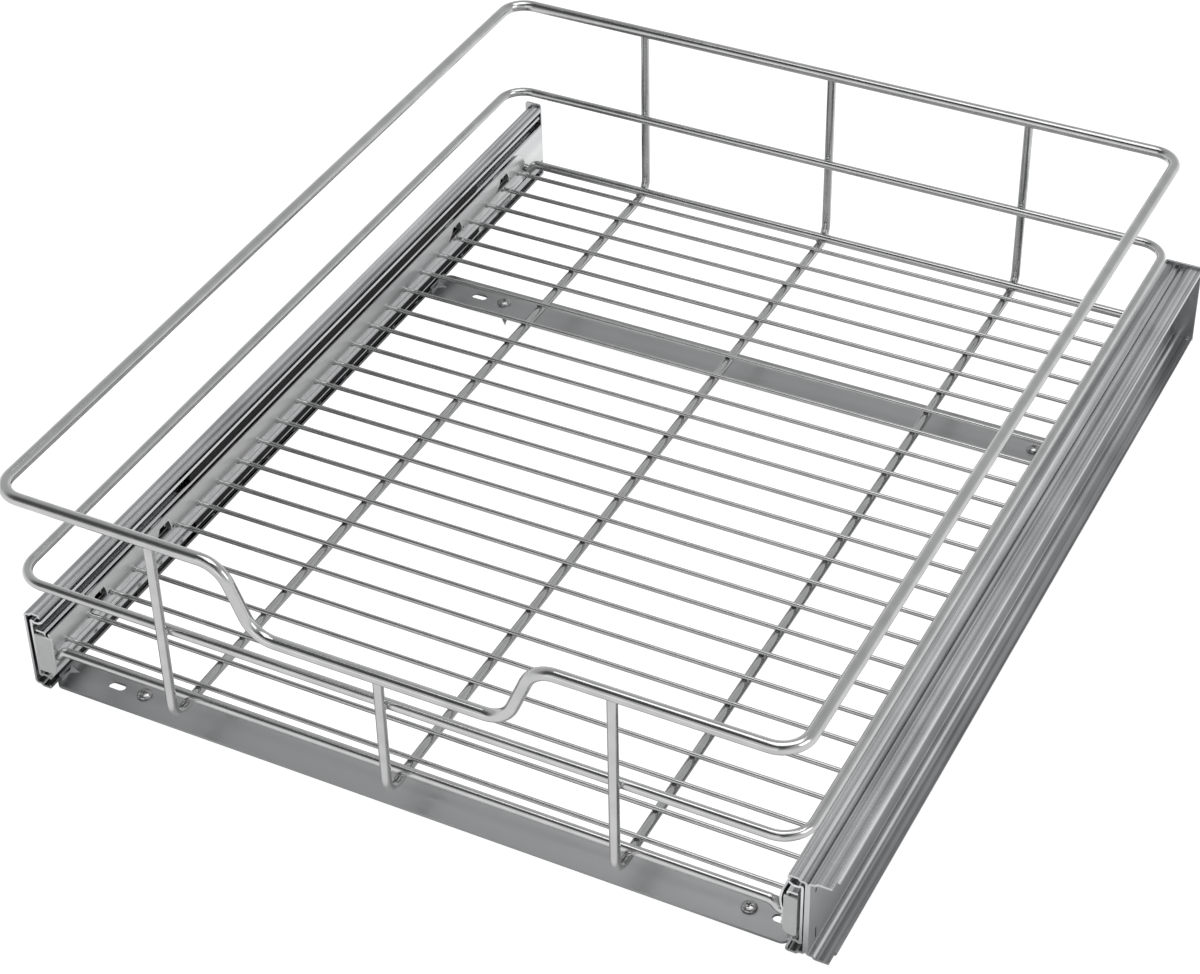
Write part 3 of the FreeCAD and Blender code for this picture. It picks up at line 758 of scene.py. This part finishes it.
@dataclass
class Basket:
    """The wire basket, with the welds where its wires meet."""

    SUPPORTS = ("left_support_wire", "centre_support_wire", "right_support_wire")
    WIRES = ("top_rim", "middle_rim", *SUPPORTS, "front_floor_wire", "rear_floor_wire",
             "floor_wires")

    thin_count: int = 25
    thin_radius: float = 1.2 * MM
    frame_radius: float = 2.4 * MM
    collar_inset: float = 0.35 * MM
    floor_bead: Triple = (1.45 * MM, 2.1 * MM, 0.75 * MM)
    cross_bead: Triple = (2.5 * MM, 2.5 * MM, 1.0 * MM)
    rim_bead: Triple = (2.3 * MM, 0.9 * MM, 2.3 * MM)

    def dress(self, paint: Paint) -> None:
        """Finishes the wires and adds the welds."""
        for name in self.WIRES:
            paint.node(name, WIRE_CHROME)
        self._floor_welds(paint)
        self._end_welds(paint)
        self._frame_welds(paint)

    def _thin_places(self) -> list[float]:
        """Y of the middle of each thin floor wire."""
        low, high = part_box("floor_wires")
        first, last = low.y + self.thin_radius, high.y - self.thin_radius
        gaps = self.thin_count - 1
        return [first + (last - first) * index / gaps for index in range(self.thin_count)]

    def _support_places(self) -> list[float]:
        """X of the middle of each support wire."""
        return [(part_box(name)[0].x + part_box(name)[1].x) / 2 for name in self.SUPPORTS]

    @staticmethod
    def _welds(paint: Paint, pattern: bpy.types.Object, places: list[tuple[Vector, float]],
               name: str, finish: Finish) -> None:
        """Copies a pattern to places, each with its own mesh, and joins and dresses the copies.

        Args:
            paint: The finishes.
            pattern: What is copied, which is removed afterwards.
            places: Each copy's position and its turn about Z.
            name: Name of the joined piece.
            finish: Its finish.
        """
        copies = []
        for number, (place, turn) in enumerate(places):
            copy = link_new(f"{name}_{number}", pattern.data.copy())
            copy.location = place
            copy.rotation_euler.z = turn
            bake_place(copy)
            copies.append(copy)
        bpy.data.objects.remove(pattern)
        paint.piece(joined(copies, name), finish, "basket")

    def _floor_welds(self, paint: Paint) -> None:
        """Beads where the thin wires cross the support wires, coloured near-black as painted shade
        of the crossings.
        """
        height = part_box("floor_wires")[0].z
        places = [(Vector((x, y, height)), 0.0)
                  for x in self._support_places() for y in self._thin_places()]
        # These beads carry the near-black painted shade of the crossings.
        self._welds(paint, Bead(self.floor_bead).build(), places, "floor_welds_painted_shade", WELD_PAINTED_SHADE)

    def _end_welds(self, paint: Paint) -> None:
        """Fillets where the thin wires end on the side strips."""
        low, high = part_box("floor_wires")
        height = (low.z + high.z) / 2
        places = []
        for y in self._thin_places():
            places.append((Vector((high.x - self.collar_inset, y, height)), 0.0))
            places.append((Vector((low.x + self.collar_inset, y, height)), math.pi))
        self._welds(paint, Collar().build(), places, "wire_end_welds", WELD_CHROME)

    def _frame_welds(self, paint: Paint) -> None:
        """Beads where the support wires meet the cross wires and the middle rim."""
        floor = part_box("left_support_wire")[0].z + 2 * self.frame_radius
        places = []
        for node in ("front_floor_wire", "rear_floor_wire"):
            low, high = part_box(node)
            middle = (low.y + high.y) / 2
            places += [(Vector((x, middle, floor)), 0.0) for x in self._support_places()]
        self._welds(paint, Bead(self.cross_bead).build(), places, "cross_wire_welds", WELD_CHROME)
        low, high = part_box("middle_rim")
        height = (low.z + high.z) / 2
        places = [(Vector((x, y, height)), 0.0)
                  for x in self._support_places() for y in (low.y, high.y)]
        self._welds(paint, Bead(self.rim_bead).build(), places, "rim_welds", WELD_CHROME)


@dataclass(frozen=True)
class Lamp:
    """A square soft lamp that points at the middle of the basket."""

    name: str
    place: Triple
    size: float
    power: float
    aim: Triple = (0.0, 0.23, 0.05)

    def build(self) -> None:
        """Adds the lamp to the scene."""
        data = bpy.data.lights.new(self.name, "AREA")
        data.shape = "SQUARE"
        data.size = self.size
        data.energy = self.power
        lamp = bpy.data.objects.new(self.name, data)
        bpy.context.scene.collection.objects.link(lamp)
        lamp.location = self.place
        lamp.rotation_mode = "QUATERNION"
        lamp.rotation_quaternion = (Vector(self.aim) - lamp.location).to_track_quat("-Z", "Y")


@dataclass
class Studio:
    """Floor, light and camera."""

    LAMPS = (Lamp("overhead", (0.1, 0.35, 2.2), 1.6, 16.0),
             Lamp("side", (2.0, 0.1, 1.3), 1.0, 8.0),
             Lamp("front", (-0.3, -2.6, 0.8), 2.4, 12.0))
    SKY = ((0.16, 0.85), (0.35, 0.62), (0.62, 0.60), (0.85, 0.46))

    camera_place: Triple = (0.4974, -0.7726, 0.8978)
    camera_aim: Triple = (-0.0196, 0.2252, 0.0075)
    camera_roll: float = -1.19
    lens: float = 84.99
    sensor: float = 36.0
    floor_half: float = 6.0
    floor_tone: float = 0.35
    seen_glow: float = 0.93
    mirrored_glow: float = 0.75
    # Reflected floor glow under the basket, lowered as a painted shadow.
    basket_painted_shadow_glow: float = 0.32
    slide_line: float = 0.195
    slide_middle: float = 0.233
    shade_half: float = 0.012
    shade_reach: float = 0.065
    slide_half: float = 0.25
    slide_clear: float = 0.29
    horizon: tuple[float, float] = (0.03, 1.0)
    zenith: tuple[float, float] = (1.0, 0.45)
    sky_blue: float = 1.01
    patch_aim: Triple = (-0.15, -0.60, 0.78)
    patch_edge: float = 0.55
    patch_core: float = 0.90
    patch_colour: Triple = (0.10, 0.10, 0.102)

    def build(self) -> None:
        """Sets up everything that isn't part of the object."""
        bpy.context.scene.view_settings.view_transform = "Standard"
        self._camera()
        self._floor()
        self._world()
        for lamp in self.LAMPS:
            lamp.build()

    def _camera(self) -> None:
        """Camera at the photograph's viewing angle."""
        data = bpy.data.cameras.new("camera")
        data.sensor_width = self.sensor
        data.lens = self.lens
        camera = bpy.data.objects.new("camera", data)
        bpy.context.scene.collection.objects.link(camera)
        place = Vector(self.camera_place)
        look = (Vector(self.camera_aim) - place).to_track_quat("-Z", "Y")
        roll = Quaternion((0.0, 0.0, 1.0), math.radians(self.camera_roll))
        camera.rotation_mode = "QUATERNION"
        camera.location = place
        camera.rotation_quaternion = look @ roll
        bpy.context.scene.camera = camera

    def _floor(self) -> None:
        """Pale floor that keeps a soft shadow."""
        bpy.ops.mesh.primitive_plane_add(
            size=2 * self.floor_half, location=(0, 0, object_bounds()[0].z))
        floor = bpy.context.view_layer.objects.active
        floor.name = "floor"
        material = bpy.data.materials.new("floor_white")
        material.use_nodes = True
        tree = material.node_tree
        tree.nodes.remove(tree.nodes["Principled BSDF"])
        tone = self.floor_tone
        matt = add_node(tree, "ShaderNodeBsdfDiffuse", {"Color": (tone, tone, tone, 1.0)})
        path = add_node(tree, "ShaderNodeLightPath").outputs
        seen = add_math(tree, "MAXIMUM", path["Is Camera Ray"], path["Is Transmission Ray"])
        # The reflected glow carries a painted shadow beside the slides and under the basket.
        mirrored = add_math(tree, "MULTIPLY", path["Is Glossy Ray"], self._mirrored_floor(tree))
        level = add_math(tree, "MULTIPLY_ADD", seen, self.seen_glow, mirrored)
        glow = add_node(tree, "ShaderNodeEmission",
                        {"Color": (1.0, 1.0, 1.0, 1.0), "Strength": level})
        both = add_node(tree, "ShaderNodeAddShader",
                        {0: matt.outputs["BSDF"], 1: glow.outputs["Emission"]})
        sink = tree.nodes["Material Output"]
        tree.links.new(both.outputs["Shader"], sink.inputs["Surface"])
        floor.data.materials.append(material)
        floor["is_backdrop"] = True

    def _mirrored_floor(self, tree: bpy.types.NodeTree) -> bpy.types.NodeSocket:
        """Glow of the floor in reflections, with a painted shadow: it fades beside the slides,
        where the floor is in shadow, and dims under the basket.

        Args:
            tree: The floor's node tree.

        Returns:
            The output that holds the glow.
        """
        place = add_node(tree, "ShaderNodeTexCoord").outputs["Object"]
        parts = add_node(tree, "ShaderNodeSeparateXYZ", {"Vector": place}).outputs
        across, along = (
            add_math(tree, "ABSOLUTE", add_math(tree, "SUBTRACT", parts[axis], middle))
            for axis, middle in (("X", 0.0), ("Y", self.slide_middle)))
        line, half, reach = self.slide_line, self.shade_half, self.shade_reach
        outside, inside, past = (
            add_node(tree, "ShaderNodeMapRange", {
                "Value": source, "From Min": near, "From Max": far, "To Max": level},
                interpolation_type="SMOOTHSTEP").outputs["Result"]
            for source, near, far, level in (
                (across, line + half, line + reach, self.mirrored_glow),
                (across, line - half, line - reach, self.basket_painted_shadow_glow),
                (along, self.slide_half, self.slide_clear, self.mirrored_glow)))
        return add_math(tree, "MAXIMUM", add_math(tree, "MAXIMUM", outside, inside), past)

    def _world(self) -> None:
        """White low down and grey above, with a darker patch high in the front."""
        world = bpy.data.worlds.new("studio")
        bpy.context.scene.world = world
        world.use_nodes = True
        tree = world.node_tree
        background = tree.nodes["Background"]
        place = add_node(tree, "ShaderNodeTexCoord").outputs["Generated"]
        parts = add_node(tree, "ShaderNodeSeparateXYZ", {"Vector": place})
        ramp = add_node(tree, "ShaderNodeValToRGB", {"Fac": parts.outputs["Z"]})
        ramp.color_ramp.interpolation = "EASE"
        stops = ramp.color_ramp.elements
        for stop, (position, level) in zip(stops, (self.horizon, self.zenith)):
            stop.position = position
            stop.color = (level, level, level, 1.0)
        for position, level in self.SKY:
            stops.new(position).color = (level, level, level * self.sky_blue, 1.0)
        facing = add_node(tree, "ShaderNodeVectorMath", {
            0: place, 1: Vector(self.patch_aim).normalized()}, operation="DOT_PRODUCT")
        share = add_node(tree, "ShaderNodeMapRange", {
            "Value": facing.outputs["Value"], "From Min": self.patch_edge,
            "From Max": self.patch_core}, interpolation_type="SMOOTHSTEP")
        mixed = add_node(tree, "ShaderNodeMix", {
            "Factor": share.outputs["Result"], "A": ramp.outputs["Color"],
            "B": (*self.patch_colour, 1.0)}, data_type="RGBA")
        tree.links.new(mixed.outputs["Result"], background.inputs["Color"])
        background.inputs["Strength"].default_value = 1.0


def main() -> None:
    """Builds the finishes, the object's pieces and the studio."""
    logging.basicConfig(level=logging.INFO, format="%(name)s: %(message)s")
    paint = Paint()
    for side in Side:
        Slide(side).dress(paint)
    FloorFrame().dress(paint)
    Basket().dress(paint)
    Studio().build()


if __name__ == "__main__":
    main()
